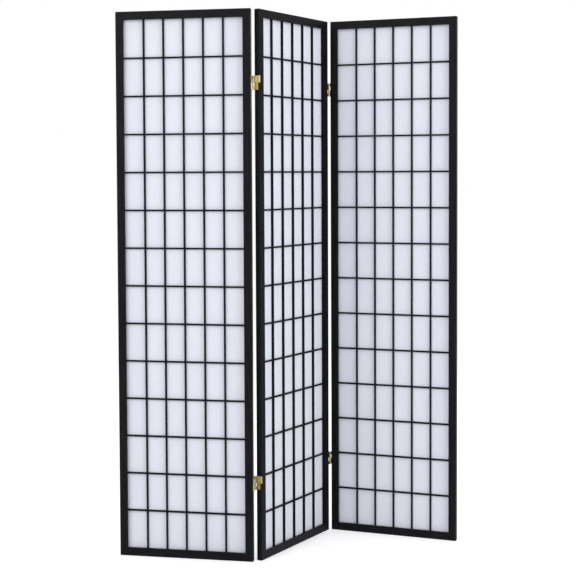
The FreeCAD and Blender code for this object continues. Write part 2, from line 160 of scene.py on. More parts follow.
class Finish:
    """A finish in the making, from an empty graph to one shader on its output."""

    def __init__(self, owner):
        self.owner = owner
        owner.use_nodes = True
        self.tree = owner.node_tree
        self.tree.nodes.clear()

    def node(self, kind, settings, inputs):
        """Adds a node, sets it up, fills its sockets, and returns its outputs as values."""
        added = self.tree.nodes.new(kind)
        for name, setting in settings.items():
            if name == "stops":
                ramp = added.color_ramp.elements
                while len(ramp) < len(setting):
                    ramp.new(1.0)
                for element, (position, shade) in zip(ramp, setting):
                    element.position = position
                    element.color = (shade, shade, shade, 1)
            else:
                setattr(added, name, setting)
        for key, value in inputs.items():
            if isinstance(value, Value):
                self.tree.links.new(value.socket, added.inputs[key])
            else:
                added.inputs[key].default_value = value
        return {
            key: Value(self, output)
            for position, output in enumerate(added.outputs) for key in (position, output.name)}

    def blend(self, factor, first, second):
        """A colour between two others."""
        # A Mix node has sockets for every kind of data: 6, 7 and output 2 are the colours.
        mixed = self.node(
            "ShaderNodeMix", {"data_type": "RGBA"}, {0: factor, 6: first, 7: second})
        return mixed[2]

    def squeezed(self, scale, turn=0.0):
        """Object coordinates, turned about z and then squeezed by a scale along each axis."""
        place = self.node("ShaderNodeTexCoord", {}, {})["Object"]
        turned = self.node(
            "ShaderNodeMapping", {"vector_type": "POINT"},
            {"Vector": place, "Rotation": (0, 0, turn)})["Vector"]
        return self.node(
            "ShaderNodeVectorMath", {"operation": "MULTIPLY"}, {0: turned, 1: scale})["Vector"]

    def noise(self, vector, scale, detail):
        """Soft noise from 0 to 1; a larger scale makes it finer, and detail adds small forms."""
        return self.node(
            "ShaderNodeTexNoise", {}, {"Vector": vector, "Scale": scale, "Detail": detail})[0]

    def shaped(self, value, *stops):
        """A value sent through a ramp of (position, result) stops."""
        return self.node("ShaderNodeValToRGB", {"stops": stops}, {0: value})[0]

    def seen(self):
        """1 for rays from the camera, a reflection or glass, and 0 for rays that light things."""
        ray = self.node("ShaderNodeLightPath", {}, {})
        seen = ray["Is Camera Ray"]
        for kind in ("Is Glossy Ray", "Is Transmission Ray"):
            seen = seen.math("MAXIMUM", seen, ray[kind])
        return seen

    def finish(self, shader, output="ShaderNodeOutputMaterial"):
        """Joins the last shader to the output and hands the owner over."""
        self.node(output, {}, {"Surface": shader})
        return self.owner


print("helpers ready")

# %% [markdown]
# ## A pale studio
# The screen stands in a plain white studio. The world gives soft light from everywhere at less
# than full strength, so white paper does not burn out. Only what the camera sees directly, or
# in a reflection, is pure white: Light Path tells those rays from the ones that light the wood.

# %% Light from everywhere
SKY_LIGHT = 0.86
studio = Finish(bpy.data.worlds.new("studio"))
sky_strength = studio.seen() * (1 - SKY_LIGHT) + SKY_LIGHT
sky = studio.node(
    "ShaderNodeBackground", {}, {"Color": (1, 1, 1, 1), "Strength": sky_strength})[0]
bpy.context.scene.world = studio.finish(sky, "ShaderNodeOutputWorld")
bpy.context.scene.view_settings.view_transform = "Standard"
print("sky light at", SKY_LIGHT)

# %% [markdown]
# The floor is a wide plain sheet. It takes the screen's soft shadow from its diffuse part, and
# a little added glow, for the camera and for reflections only, lifts the rest of it to white.

# %% Lay the floor
FLOOR_SHADE, FLOOR_GLOW = 0.70, 0.40
FLOOR_REACH = 30                   # metres from the middle of the floor to each side
floor_finish = Finish(bpy.data.materials.new("studio_floor"))
matt = floor_finish.node(
    "ShaderNodeBsdfDiffuse", {}, {"Color": (FLOOR_SHADE, FLOOR_SHADE, FLOOR_SHADE, 1)})[0]
glow = floor_finish.node(
    "ShaderNodeEmission", {},
    {"Color": (1, 1, 1, 1), "Strength": floor_finish.seen() * FLOOR_GLOW})[0]
floor_material = floor_finish.finish(
    floor_finish.node("ShaderNodeAddShader", {}, {0: matt, 1: glow})[0])

floor_mesh = bpy.data.meshes.new("studio_floor")
bm = bmesh.new()
bmesh.ops.create_grid(bm, x_segments=1, y_segments=1, size=FLOOR_REACH)
bm.to_mesh(floor_mesh)
bm.free()
floor_mesh.materials.append(floor_material)
floor = bpy.data.objects.new("studio_floor", floor_mesh)
bpy.context.scene.collection.objects.link(floor)
print("floor laid")

# %% [markdown]
# Three large soft lamps give the even light some direction: one high on the left in front, a
# stronger one on the right, and one behind the screen that shines through the paper. Large areas
# make shadows too soft to show on the paper.

# %% Hang the lamps
LAMP_SIDE = 2.4                    # metres
SCREEN_MIDDLE = (0, 0, 0.9)        # metres
LAMPS = {                          # each lamp's place in metres and its power in watts
    "left_lamp": ((-2.6, -3.2, 2.6), 52),
    "right_lamp": ((3.0, -2.6, 2.0), 74),
    "back_lamp": ((0.6, 3.4, 2.6), 40),
}


def hang_lamp(name, place, power):
    """A square soft lamp that faces the middle of the screen."""
    light = bpy.data.lights.new(name, "AREA")
    light.shape = "SQUARE"
    light.size = LAMP_SIDE
    light.energy = power
    lamp = bpy.data.objects.new(name, light)
    lamp.location = place
    towards_screen = Vector(SCREEN_MIDDLE) - Vector(place)
    lamp.rotation_euler = towards_screen.to_track_quat("-Z", "Y").to_euler()
    bpy.context.scene.collection.objects.link(lamp)


for lamp_name, (lamp_place, power) in LAMPS.items():
    hang_lamp(lamp_name, lamp_place, power)
print("%d lamps hung" % len(LAMPS))

# %% [markdown]
# ## Black lacquered wood
# The frames and the lattice are a fine-grained hardwood under thin satin black lacquer. Black
# hides the wood's colour, and what is left is its grain: faint streaks along each piece, felt
# as a shallow bump and seen as a slightly uneven sheen. The roughness gives part of that sheen,
# and a lighter black painted along the streaks adds the rest as painted sheen. The streaks are
# noise squeezed across the grain, so pieces that lie level need their own copy of the finish,
# turned with the panel.

# %% Mix the lacquer
BLACK = (0.0030, 0.0030, 0.0048, 1)
# The lighter black is painted sheen along the grain's streaks; random clouds lift the tone too.
BLACK_SHEEN_AND_CLOUDS = (0.0118, 0.0118, 0.0144, 1)
ACROSS_GRAIN, ALONG_GRAIN = 34, 1.2        # how tightly the noise is squeezed


def mix_lacquer(name, squeeze, turn=0.0):
    """Satin black lacquer whose grain runs along the axis that is squeezed least."""
    finish = Finish(bpy.data.materials.new(name))
    grain = finish.squeezed(squeeze, turn)
    streaks = finish.shaped(
        finish.noise(grain, scale=9.0, detail=5.0), (0.36, 0.0), (0.66, 1.0))
    pores = finish.shaped(
        finish.noise(grain, scale=40.0, detail=2.0), (0.56, 0.0), (0.68, 1.0))
    clouds = finish.noise(finish.squeezed((1, 1, 1)), scale=14.0, detail=2.0)
    # Lighter along the streaks as painted sheen, lighter in random clouds, and darker in the pores.
    colour = finish.blend((streaks * 0.7 + clouds * 0.3) * (1 - pores * 0.8), BLACK, BLACK_SHEEN_AND_CLOUDS)
    normal = finish.node(
        "ShaderNodeBump", {},
        {"Strength": 0.35, "Distance": 0.3 * MM, "Height": streaks * 0.5 - pores * 0.5})["Normal"]
    shader = finish.node("ShaderNodeBsdfPrincipled", {}, {
        "Base Color": colour,
        "Roughness": 0.34 + streaks * 0.12 + pores * 0.18,
        "Specular IOR Level": 0.06,
        "Normal": normal,
    })[0]
    return finish.finish(shader)


UPRIGHT_LACQUER = mix_lacquer(
    "black_lacquer_upright_grain", (ACROSS_GRAIN, ACROSS_GRAIN, ALONG_GRAIN))
LEVEL_LACQUER = {
    panel: mix_lacquer(
        "black_lacquer_level_grain_" + panel, (ALONG_GRAIN, ACROSS_GRAIN, ACROSS_GRAIN),
        turn=-place.to_euler().z)
    for panel, place in PLACES.items()}
print("lacquer mixed, one upright and %d level" % len(LEVEL_LACQUER))

# %% [markdown]
# ## Paper
# Screen paper is a thin, faintly blue white sheet with long soft fibres, and it lets light
# through. A fibre is a thin curved line, and the level lines of a noise are just that, so a ramp
# keeps only the values close to one level. A second noise breaks the lines into lengths. A mix
# with a translucent shader gives the glow from behind.

# %% Mix the paper
FIBRE_LINES = ((26.0, 0.50), (41.0, 0.46), (63.0, 0.53))   # a noise's scale, the level shown
FIBRE_WIDTH = 0.012                # how far from its level a value may lie
BREAK_SCALE = 1.7                  # how much finer the noise is that breaks the lines
SHEET_SHADE, SHEET_LIGHT = (0.765, 0.780, 0.860, 1), (0.795, 0.806, 0.872, 1)
FIBRE_WHITE = (0.850, 0.856, 0.895, 1)
GLOW_COLOUR, GLOW_SHARE = (0.82, 0.83, 0.88, 1), 0.25


def mix_paper(name):
    """Fibrous white paper that lets a part of the light through."""
    finish = Finish(bpy.data.materials.new(name))
    place = finish.squeezed((1, 1, 1))
    fibres = None
    for scale, level in FIBRE_LINES:
        line = finish.shaped(
            finish.noise(place, scale, detail=1.0),
            (level - FIBRE_WIDTH, 0.0), (level, 1.0), (level + FIBRE_WIDTH, 0.0))
        broken = finish.shaped(
            finish.noise(place, scale * BREAK_SCALE, detail=0.0), (0.45, 0.0), (0.56, 1.0))
        fibres = line * broken if fibres is None else fibres.math("MAXIMUM", fibres, line * broken)
    clouds = finish.noise(place, scale=11.0, detail=3.0)
    sheet_colour = finish.blend(clouds, SHEET_SHADE, SHEET_LIGHT)
    colour = finish.blend(fibres * 0.55, sheet_colour, FIBRE_WHITE)
    normal = finish.node(
        "ShaderNodeBump", {},
        {"Strength": 0.10, "Distance": 0.3 * MM, "Height": fibres + clouds})["Normal"]
    surface = finish.node("ShaderNodeBsdfPrincipled", {}, {
        "Base Color": colour,
        "Roughness": 0.72 + clouds * 0.12,
        "Specular IOR Level": 0.2,
        "Normal": normal,
    })[0]
    through = finish.node("ShaderNodeBsdfTranslucent", {}, {"Color": GLOW_COLOUR})[0]
    both = finish.node("ShaderNodeMixShader", {}, {0: GLOW_SHARE, 1: surface, 2: through})[0]
    return finish.finish(both)


PAPER = mix_paper("fibre_paper")
print("paper mixed")

# %% [markdown]
# ## Brass
# The hinges are pressed from bright brass sheet. Rolling leaves fine upright scratches, and the
# air a little tarnish, so the colour drifts and the sheen is broken up. The screws are turned
# from a slightly brighter brass.

# %% Mix the brass
SCRATCH_SQUEEZE = (900, 900, 120)          # less along z, so that scratches run upright


def mix_brass(name, bright, dull):
    """Scratched brass whose colour drifts between a bright and a dull one."""
    finish = Finish(bpy.data.materials.new(name))
    tarnish = finish.noise(finish.squeezed((1, 1, 1)), scale=90.0, detail=4.0)
    scratches = finish.noise(finish.squeezed(SCRATCH_SQUEEZE), scale=4.0, detail=4.0)
    normal = finish.node(
        "ShaderNodeBump", {},
        {"Strength": 0.12, "Distance": 0.1 * MM, "Height": scratches})["Normal"]
    shader = finish.node("ShaderNodeBsdfPrincipled", {}, {
        "Base Color": finish.blend(tarnish, bright, dull),
        "Metallic": 1.0,
        "Roughness": 0.22 + scratches * 0.10 + tarnish * 0.12,
        "Normal": normal,
    })[0]
    return finish.finish(shader)


HINGE_BRASS = mix_brass(
    "hinge_brass_sheet", bright=(0.50, 0.435, 0.215, 1), dull=(0.33, 0.285, 0.145, 1))
SCREW_BRASS = mix_brass(
    "screw_brass_turned", bright=(0.58, 0.50, 0.26, 1), dull=(0.42, 0.36, 0.18, 1))
print("brass mixed for sheet and screws")

# %% [markdown]
# ## Handing a piece over
# Every piece ends the same way. Its mesh is carried to its place in the room while the object
# itself stays at the origin, unturned, so that patterns on object coordinates stay put. Then it
# rides on its part of the screen and stands in for the solid of the same name.

# %% A helper that sets a piece in place
SMOOTH_LIMIT = math.radians(32)            # an edge that turns by more stays sharp


def shade_round(bm):
    """Smooth shading, except where a surface ends or turns sharply."""
    for face in bm.faces:
        face.smooth = True
    for edge in bm.edges:
        edge.smooth = len(edge.link_faces) == 2 and edge.calc_face_angle(0) < SMOOTH_LIMIT


def set_in_place(bm, name, body, material):
    """Makes the finished object from a mesh that already lies in its place in the room."""
    bmesh.ops.recalc_face_normals(bm, faces=bm.faces)
    shade_round(bm)
    mesh = bpy.data.meshes.new(name)
    bm.to_mesh(mesh)
    bm.free()
    mesh.materials.append(material)
    piece = bpy.data.objects.new(name + "_finished", mesh)
    bpy.context.scene.collection.objects.link(piece)
    even = piece.modifiers.new("even_shading", "WEIGHTED_NORMAL")
    even.keep_sharp = True
    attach(piece, body)
    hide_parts(name)
    return piece


def ease_edges(bm, edges, radius, segments):
    """Rounds the given edges with a bevel."""
    bmesh.ops.bevel(
        bm, geom=list(edges), affect="EDGES", offset=radius, offset_type="OFFSET",
        segments=segments, profile=0.5, material=-1, clamp_overlap=True)


def edges_in(bm, *planes):
    """The edges that lie in at least two of the given planes, such as ("y", 0.0)."""
    def lies_in(edge, axis, value):
        return all(abs(getattr(vert.co, axis) - value) < CLOSE for vert in edge.verts)
    return [edge for edge in bm.edges if sum(lies_in(edge, *plane) for plane in planes) >= 2]


def cut_across(bm, level, axis=(0, 0, 1)):
    """Cuts the faces along a plane square to an axis, and leaves both halves."""
    bmesh.ops.bisect_plane(
        bm, geom=bm.verts[:] + bm.edges[:] + bm.faces[:], dist=CLOSE,
        plane_co=Vector(axis) * level, plane_no=axis)


def pull(bm, faces, vector):
    """Extrudes faces along a vector and returns the faces at the far end."""
    # The edges are handed over too, each once: they tell the operator to drop faces left inside.
    edges = list(dict.fromkeys(edge for face in faces for edge in face.edges))
    pulled = bmesh.ops.extrude_face_region(bm, geom=faces + edges)["geom"]
    verts = [item for item in pulled if isinstance(item, bmesh.types.BMVert)]
    bmesh.ops.translate(bm, verts=verts, vec=vector)
    return [item for item in pulled if isinstance(item, bmesh.types.BMFace)]


def carried(bm, matrix):
    """The same mesh, carried to another place."""
    bmesh.ops.transform(bm, matrix=matrix, verts=bm.verts)
    return bm


def strip(low, high, radius):
    """A straight strip between two corners, with all its arrises eased."""
    bm = bmesh.new()
    bmesh.ops.create_cube(bm, size=1)
    low, high = Vector(low), Vector(high)
    bmesh.ops.scale(bm, verts=bm.verts, vec=high - low)
    bmesh.ops.translate(bm, verts=bm.verts, vec=(low + high) / 2)
    ease_edges(bm, bm.edges, radius, segments=2)
    return bm


print("piece helpers ready")

# %% [markdown]
# Two helpers work on whole meshes. `joined` lays several side by side in one mesh, for pieces
# that share a name. `combine` cuts one mesh with another or welds the two into one closed skin.
# It lends them to a Boolean modifier, reads the result back and throws the helpers away.

# %% Join, cut and weld
def joined(copies):
    """Several meshes as one, each already in its place. The single ones are used up."""
    whole = bmesh.new()
    for copy in copies:
        loose = bpy.data.meshes.new("loose")
        copy.to_mesh(loose)
        copy.free()
        whole.from_mesh(loose)
        bpy.data.meshes.remove(loose)
    return whole


def combine(bm, tool, operation):
    """A mesh cut with a tool ("DIFFERENCE") or welded to it ("UNION"). Both are used up."""
    helpers = []
    for part in (bm, tool):
        bmesh.ops.recalc_face_normals(part, faces=part.faces)
        mesh = bpy.data.meshes.new("helper")
        part.to_mesh(mesh)
        part.free()
        helper = bpy.data.objects.new("helper", mesh)
        bpy.context.scene.collection.objects.link(helper)
        helpers.append(helper)
    step = helpers[0].modifiers.new("combine", "BOOLEAN")
    step.operation = operation
    step.solver = "EXACT"
    step.object = helpers[1]
    step.use_self = True
    result = bmesh.new()
    result.from_object(helpers[0], bpy.context.evaluated_depsgraph_get())
    bmesh.ops.remove_doubles(result, verts=result.verts, dist=CLOSE)
    for helper in helpers:
        bpy.data.meshes.remove(helper.data)      # its object goes with it
    return result


print("cutting and welding ready")

# %% [markdown]
# ## The stiles
# A stile is an upright of the frame: a strip with an L-shaped section, because a rebate along
# its inner back edge takes the lattice. The section is drawn as one face and extruded to the
# full height. A router has rounded the outer arrises. The inner front arris is only broken.
# Near each end a blind mortise is cut for a rail's tenon, with a block that is its hollow.

# %% Make a stile
ARRIS, BROKEN_ARRIS = 2.2 * MM, 0.4 * MM
REBATE_LEFT = STILE_WIDTH - REBATE_WIDTH
TENON_LENGTH, TENON_THICKNESS, TENON_HEIGHT = 16 * MM, 6 * MM, 17 * MM
TENON_START = STILE_WIDTH - TENON_LENGTH
TENON_FRONT = (PANEL_THICKNESS - TENON_THICKNESS) / 2
TENON_RISE = (RAIL_HEIGHT - TENON_HEIGHT) / 2
TENON_EASING = 0.3 * MM            # radius of a tenon's edges and its mortise's corners
TENON_FIT = 0.1 * MM               # room round a tenon in its mortise
CUTTER_PAST = 1 * MM               # the block that cuts a mortise sticks out of the stile


def make_mortise(rail_foot):
    """The hollow for the tenon of a rail whose lower edge lies at a height."""
    fit = Vector((TENON_FIT, TENON_FIT, TENON_FIT))
    low = Vector((TENON_START, TENON_FRONT, rail_foot + TENON_RISE))
    size = Vector((TENON_LENGTH + CUTTER_PAST, TENON_THICKNESS, TENON_HEIGHT))
    return strip(low - fit, low + size + fit, TENON_EASING)


def make_stile():
    """The left stile in the panel's frame; the right one is the same piece end for end."""
    bm = bmesh.new()
    section = bm.faces.new([bm.verts.new((x, y, 0)) for x, y in (
        (0, 0), (STILE_WIDTH, 0), (STILE_WIDTH, LIP),
        (REBATE_LEFT, LIP), (REBATE_LEFT, PANEL_THICKNESS), (0, PANEL_THICKNESS))])
    pull(bm, [section], (0, 0, PANEL_HEIGHT))
    ease_edges(bm, edges_in(
        bm, ("x", 0.0), ("y", 0.0), ("y", PANEL_THICKNESS), ("z", 0.0), ("z", PANEL_HEIGHT)),
        ARRIS, segments=5)
    ease_edges(bm, edges_in(bm, ("x", STILE_WIDTH), ("y", 0.0)), BROKEN_ARRIS, segments=2)
    bmesh.ops.remove_doubles(bm, verts=bm.verts, dist=CLOSE)     # where two bevels meet
    mortises = joined([make_mortise(0), make_mortise(PANEL_HEIGHT - RAIL_HEIGHT)])
    return combine(bm, mortises, "DIFFERENCE")


one_stile = make_stile()
# Half a turn about the y axis puts a left stile on the right, and a top rail at the bottom.
END_FOR_END = (
    Matrix.Translation((PANEL_WIDTH, 0, PANEL_HEIGHT)) @ Matrix.Rotation(math.pi, 4, "Y"))
for panel, place in PLACES.items():
    for side, turn in (("left", Matrix()), ("right", END_FOR_END)):
        stile = set_in_place(
            carried(one_stile.copy(), place @ turn), "%s_panel_%s_stile" % (panel, side),
            panel + "_panel", UPRIGHT_LACQUER)
print("six stiles, %d faces each" % len(stile.data.polygons))

# %% [markdown]
# ## The rails
# A rail runs between the stiles. Its section has the same rebate. It is drawn at the left stile's
# edge and extruded across the opening. Behind the lip the rail is longer, to fill the stiles'
# rebates, so the ends are pulled out there. One long block welded through the rail makes both
# tenons, which disappear in the stiles.

# %% Make a rail
def make_rail():
    """The top rail in the panel's frame; the bottom one is the same piece end for end."""
    bm = bmesh.new()
    foot = PANEL_HEIGHT - RAIL_HEIGHT
    body_foot = foot + REBATE_WIDTH
    section = bm.faces.new([bm.verts.new((STILE_WIDTH, y, z)) for y, z in (
        (0, PANEL_HEIGHT), (0, foot), (LIP, foot), (LIP, body_foot),
        (PANEL_THICKNESS, body_foot), (PANEL_THICKNESS, PANEL_HEIGHT))])
    pull(bm, [section], (OPENING_WIDTH, 0, 0))
    cut_across(bm, LIP, (0, 1, 0))
    for x, outward in ((STILE_WIDTH, -1), (STILE_WIDTH + OPENING_WIDTH, 1)):
        end = [
            face for face in bm.faces
            if all(abs(v.co.x - x) < CLOSE and v.co.y > LIP - CLOSE for v in face.verts)]
        pull(bm, end, (outward * REBATE_WIDTH, 0, 0))
    ease_edges(bm, edges_in(
        bm, ("y", 0.0), ("y", PANEL_THICKNESS), ("z", PANEL_HEIGHT)), ARRIS, segments=5)
    ease_edges(bm, edges_in(bm, ("y", 0.0), ("z", foot)), BROKEN_ARRIS, segments=2)
    tenons = strip(
        (TENON_START, TENON_FRONT, foot + TENON_RISE),
        (PANEL_WIDTH - TENON_START, TENON_FRONT + TENON_THICKNESS,
         foot + TENON_RISE + TENON_HEIGHT), TENON_EASING)
    return combine(bm, tenons, "UNION")


one_rail = make_rail()
for panel, place in PLACES.items():
    for side, turn in (("top", Matrix()), ("bottom", END_FOR_END)):
        rail = set_in_place(
            carried(one_rail.copy(), place @ turn), "%s_panel_%s_rail" % (panel, side),
            panel + "_panel", LEVEL_LACQUER[panel])
print("six rails, %d faces each" % len(rail.data.polygons))

# %% [markdown]
# ## The lattice
# Uprights and crossbars are thin strips, halved where they cross: each loses about half its
# depth, and they lock together flush at the back. A halved bar starts as a strip of the depth
# that is left at a crossing. It is cut across at every crossing, and the stretches between the
# crossings are pulled out to the bar's full depth. The front arrises are eased with a plane.

# %% A bar with halvings
LATTICE_DEPTH = 7.4 * MM
BAR_WIDTH = 5.5 * MM
SETBACK = 0.5 * MM                 # the crossbars' fronts lie this far behind the uprights'
HALVING = 3.4 * MM                 # wood that a crossbar keeps at a crossing
HALVING_FIT = 0.05 * MM            # room between two bars in a halving
END_GAP = 0.5 * MM                 # room between a bar's end and the rebate
BAR_EASING = 0.5 * MM              # radius of a bar's front arrises
LATTICE_BACK = LIP + LATTICE_DEPTH


def halved_bar(length, core, extra, crossings, eased_side):
    """A bar along z from 0, its core from y = 0, pulled out along +y between the crossings."""
    bm = bmesh.new()
    bmesh.ops.create_cube(bm, size=1)
    bmesh.ops.translate(bm, verts=bm.verts, vec=(0, 0.5, 0.5))
    bmesh.ops.scale(bm, verts=bm.verts, vec=(BAR_WIDTH, core, length))
    notch = BAR_WIDTH / 2 + HALVING_FIT
    for crossing in crossings:
        cut_across(bm, crossing - notch)
        cut_across(bm, crossing + notch)
    stretches = [
        face for face in bm.faces
        if all(abs(v.co.y - core) < CLOSE for v in face.verts)
        and all(abs(face.calc_center_median().z - c) > notch for c in crossings)]
    pull(bm, stretches, (0, extra, 0))
    long_arrises = [
        edge for edge in bm.edges
        if all(abs(v.co.y - eased_side) < CLOSE and abs(abs(v.co.x) - BAR_WIDTH / 2) < CLOSE
               for v in edge.verts)]
    ease_edges(bm, long_arrises, BAR_EASING, segments=3)
    return bm


print("bars are %.1f x %.1f mm" % (BAR_WIDTH / MM, LATTICE_DEPTH / MM))

# %% [markdown]
# An upright keeps its front at the crossings, so the lattice shows unbroken uprights with the
# crossbars half a millimetre behind them. Its halvings are cut from the back.

# %% Set the uprights and the crossbars
REBATE_FOOT = RAIL_HEIGHT - REBATE_WIDTH
REBATED_WIDTH = PANEL_WIDTH - 2 * REBATE_LEFT
REBATED_HEIGHT = PANEL_HEIGHT - 2 * REBATE_FOOT
upright_length = REBATED_HEIGHT - 2 * END_GAP
crossbar_length = REBATED_WIDTH - 2 * END_GAP
upright_foot = REBATE_FOOT + END_GAP
crossbar_start = REBATE_LEFT + END_GAP
crossbar_levels = [RAIL_HEIGHT + PANE_HEIGHT * (n + 1) for n in range(CROSSBARS)]
upright_lines = [STILE_WIDTH + PANE_WIDTH * (n + 1) for n in range(UPRIGHTS)]
# A crossbar is made standing, and laid down by a turn that swaps its length with the x axis.
# Its core is the back half, so it is also turned to be pulled out towards the front.
LAID_DOWN = Matrix.Rotation(math.pi / 2, 4, "Y") @ Matrix.Rotation(math.pi, 4, "Z")

for panel, place in PLACES.items():
    uprights, crossbars = [], []
    for line in upright_lines:
        bar = halved_bar(
            upright_length, LATTICE_DEPTH - HALVING - HALVING_FIT, HALVING + HALVING_FIT,
            [level - upright_foot for level in crossbar_levels], 0.0)
        uprights.append(carried(bar, place @ Matrix.Translation((line, LIP, upright_foot))))
    for level in crossbar_levels:
        bar = halved_bar(
            crossbar_length, HALVING, LATTICE_DEPTH - SETBACK - HALVING,
            [line - crossbar_start for line in upright_lines], LATTICE_DEPTH - SETBACK)
        lay = Matrix.Translation((crossbar_start, LATTICE_BACK, level)) @ LAID_DOWN
        crossbars.append(carried(bar, place @ lay))
    upright_piece = set_in_place(
        joined(uprights), panel + "_panel_lattice_uprights", panel + "_panel",
        UPRIGHT_LACQUER)
    crossbar_piece = set_in_place(
        joined(crossbars), panel + "_panel_lattice_crossbars", panel + "_panel",
        LEVEL_LACQUER[panel])
print("lattices of %d and %d faces" % (
    len(upright_piece.data.polygons), len(crossbar_piece.data.polygons)))

# %% [markdown]
# ## The paper
# One sheet covers the whole back of the lattice and is glued to every bar. Between the bars it
# is free, and it never dries perfectly flat: each pane swells backwards by a few tenths of a
# millimetre. The points of a fine grid are moved back in each pane, and Solidify gives the grid
# the paper's thickness.

# %% Stretch the paper
PAPER_SIZE = (406 * MM, 1738 * MM)
PAPER_THICKNESS = 0.3 * MM
PAPER_CELL = 11 * MM               # the fine grid's spacing
GLUE = 0.05 * MM                   # between the lattice and the paper
SWELL, SWELL_DRIFT = 0.35 * MM, 0.3 * MM   # a pane's rise, and how far panes differ from it
RIPPLE = 0.10 * MM
RIPPLES_ACROSS, RIPPLES_UP = 40, 25        # in a metre
FULLNESS = 0.7                     # below 1, the swell rises steeply beside the bars


def swell(x, z, seed):
    """How far the paper stands back from the lattice at a place of the panel."""
    across, up = (x - STILE_WIDTH) / PANE_WIDTH, (z - RAIL_HEIGHT) / PANE_HEIGHT
    if not (0 < across < UPRIGHTS + 1 and 0 < up < CROSSBARS + 1):
        return 0.0
    # Steps that aren't whole numbers, because this noise is zero at all whole ones.
    pane = Vector((math.floor(across) * 3.7, math.floor(up) * 5.3, seed * 11.1))
    rise = SWELL + SWELL_DRIFT * noise.noise(pane)
    ripple = RIPPLE * noise.noise(Vector((x * RIPPLES_ACROSS, z * RIPPLES_UP, seed)))
    return (rise + ripple) * abs(math.sin(math.pi * across) * math.sin(math.pi * up)) ** FULLNESS


def make_paper(seed):
    """One sheet in the panel's frame, swollen in its panes and still without thickness."""
    bm = bmesh.new()
    width, height = PAPER_SIZE
    bmesh.ops.create_grid(
        bm, x_segments=round(width / PAPER_CELL), y_segments=round(height / PAPER_CELL), size=0.5)
    bmesh.ops.scale(bm, verts=bm.verts, vec=(width, height, 1))
    bmesh.ops.rotate(
        bm, verts=bm.verts, cent=(0, 0, 0), matrix=Matrix.Rotation(math.pi / 2, 3, "X"))
    bmesh.ops.translate(
        bm, verts=bm.verts, vec=(PANEL_WIDTH / 2, LATTICE_BACK + GLUE, PANEL_HEIGHT / 2))
    for vert in bm.verts:
        vert.co.y += swell(vert.co.x, vert.co.z, seed)
    return bm


for seed, (panel, place) in enumerate(PLACES.items(), start=1):
    paper = set_in_place(
        carried(make_paper(seed), place), panel + "_panel_paper", panel + "_panel",
        PAPER)
    thickness = paper.modifiers.new("thickness", "SOLIDIFY")
    thickness.thickness = PAPER_THICKNESS
    # The thickness grows backwards, whichever way the faces point, and comes before the shading.
    thickness.offset = -1 if paper.data.polygons[0].normal.y < 0 else 1
    paper.modifiers.move(1, 0)
print("three papers, %d faces each" % len(paper.data.polygons))

# %% [markdown]
# ## The beads
# Four slim beads close the rebate behind the paper and sit flush with the frame's back. The
# upright ones run the rebate's full height, and the level ones fit between them. Each is a plain
# strip with its arrises eased, glued in where nobody sees it.

# %% Fit the beads
BEAD = 5 * MM
BEAD_GAP = 0.2 * MM                # to the rebate, and between two beads
BEAD_EASING = 0.5 * MM
BEAD_FRONT = LATTICE_BACK + PAPER_THICKNESS + 2 * GLUE
left_edge, foot_edge = REBATE_LEFT + BEAD_GAP, REBATE_FOOT + BEAD_GAP
right_edge, top_edge = PANEL_WIDTH - left_edge, PANEL_HEIGHT - foot_edge
for panel, place in PLACES.items():
    beads = []
    for start in (left_edge, right_edge - BEAD):
        beads.append(strip(
            (start, BEAD_FRONT, foot_edge), (start + BEAD, PANEL_THICKNESS, top_edge),
            BEAD_EASING))
    for start in (foot_edge, top_edge - BEAD):
        beads.append(strip(
            (left_edge + BEAD + BEAD_GAP, BEAD_FRONT, start),
            (right_edge - BEAD - BEAD_GAP, PANEL_THICKNESS, start + BEAD), BEAD_EASING))
    bead_piece = set_in_place(
        carried(joined(beads), place), panel + "_panel_paper_beads", panel + "_panel",
        UPRIGHT_LACQUER)
print("beads fitted, %d faces a panel" % len(bead_piece.data.polygons))

# %% [markdown]
# ## The two-way hinges
# Each fold has two hinges that bend both ways. A leaf is screwed to either panel's edge. Each
# leaf reaches round to a pivot in front of the panels at its top, and to one behind them at its
# foot, and two links cross between the four pivots. A hinge is drawn with the middle of the gap
# at x = 0, the front pivot at y = 0 and the hinge's foot at z = 0.

# %% Sizes of a hinge
SPREAD = PANEL_THICKNESS + 2 * PIVOT_OUT       # from the front pivot to the back one
SHEET = 1.2 * MM                               # thickness of the brass
SHEET_EASING = 0.12 * MM
KNUCKLE, KNUCKLE_GAP = 11 * MM, 0.4 * MM
ZONE = KNUCKLE + KNUCKLE_GAP                   # a knuckle and the gap above it
HINGE_HEIGHT = 4 * ZONE - KNUCKLE_GAP
PIN_RADIUS, BORE = 1.8 * MM, 1.9 * MM          # both are radii
ROLL = BORE + SHEET                            # outer radius of a rolled knuckle
LEAF_FACE = HALF_GAP - SHEET                   # a leaf's plate lies against its panel's edge
LEAF_EDGE = PIVOT_OUT + 4 * MM                 # and keeps this far from both pivots
print("a hinge stands %.1f mm high on pivots %.0f mm apart" % (HINGE_HEIGHT / MM, SPREAD / MM))

# %% [markdown]
# A real knuckle is the sheet itself, rolled round the pin. The same happens here: the leaf's
# edge is cut across, one stretch of it is pulled out to the pivot as an arm, and Spin carries
# the arm's end face round the pivot. The roll stops just short of the arm it started from.

# %% Roll a leaf
ROLL_TURN, ROLL_STEPS = 305, 26                # degrees, and the flats they are made of
SHARP_TURN = math.radians(60)                  # an edge that turns by more is eased


def roll(bm, face, pivot_y, degrees):
    """Spins an end face about an upright pivot, as sheet is rolled round a pin."""
    bmesh.ops.spin(
        bm, geom=[face, *face.edges, *face.verts], cent=(0, pivot_y, 0), axis=(0, 0, 1),
        dvec=(0, 0, 0), angle=math.radians(degrees), steps=ROLL_STEPS, use_merge=False,
        use_duplicate=False)


